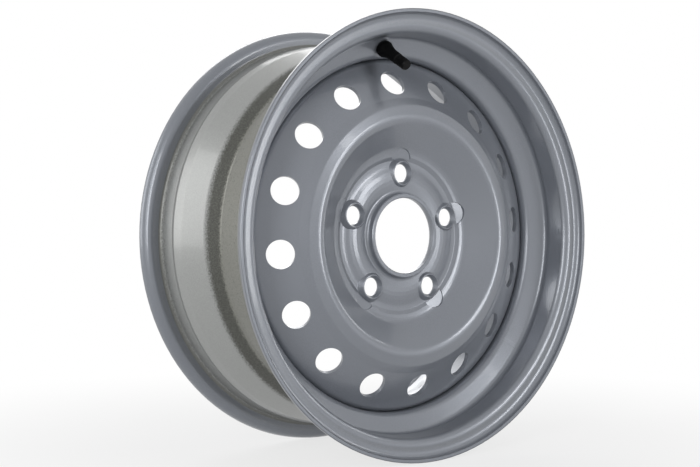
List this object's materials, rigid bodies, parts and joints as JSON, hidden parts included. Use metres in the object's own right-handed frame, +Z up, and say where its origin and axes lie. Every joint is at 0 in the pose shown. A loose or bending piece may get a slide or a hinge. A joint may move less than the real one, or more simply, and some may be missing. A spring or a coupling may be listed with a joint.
{
  "type": "steel car wheel",
  "caption": "Pressed steel car wheel with drop-centre rim, vented disc, hub bore, bolt holes and a snap-in tyre valve with cap.",
  "frame": {"origin": "centre of the rim on the wheel's axis, midway between the two flanges", "axes": "Y along the wheel's axis with -Y outboard, +Z up towards the valve, +X to the right seen from outboard"},
  "size_m": [0.4148, 0.1732, 0.4146],
  "materials": {
    "wheel_paint": "semi-gloss grey baked paint",
    "valve_rubber": "matte moulded rubber",
    "brass": "turned brass",
    "gasket_plastic": "red plastic",
    "seal_rubber": "black rubber",
    "spring_steel": "bare spring wire",
    "cap_plastic": "black moulded plastic"
  },
  "bodies": {
    "wheel": {"rim": "wheel_paint", "disc": "wheel_paint", "weld_beads": "wheel_paint", "valve_body": "valve_rubber", "valve_stem": "brass", "core_plug": "brass", "core_gasket": "gasket_plastic", "core_barrel": "brass", "core_spring": "spring_steel"},
    "pin": {"core_pin": "brass", "core_cup": "brass", "core_seal": "seal_rubber"},
    "cap_carrier": {"cap_seal": "seal_rubber"},
    "cap": {"valve_cap": "cap_plastic"}
  },
  "joints": [
    {"name": "pin_press", "type": "slide", "parent": "wheel", "child": "pin", "axis": [-0.0796, 0.8387, 0.5388], "range_m": [0, 0.0014], "stiffness_N_per_m": 1000, "springref_m": -0.0015, "deforming": ["core_spring"]},
    {"name": "cap_lift", "type": "slide", "parent": "wheel", "child": "cap_carrier", "axis": [0.0796, -0.8387, -0.5388], "range_m": [0, 0.00556]},
    {"name": "cap_turn", "type": "hinge", "parent": "cap_carrier", "child": "cap", "pos_m": [-0.0234, -0.07255, 0.15844], "axis": [0.0796, -0.8387, -0.5388], "range_deg": [0, 2520]}
  ],
  "couplings": [
    {"joint": "cap_turn", "follows": "cap_lift", "rad_per_m": 7915.8}
  ]
}
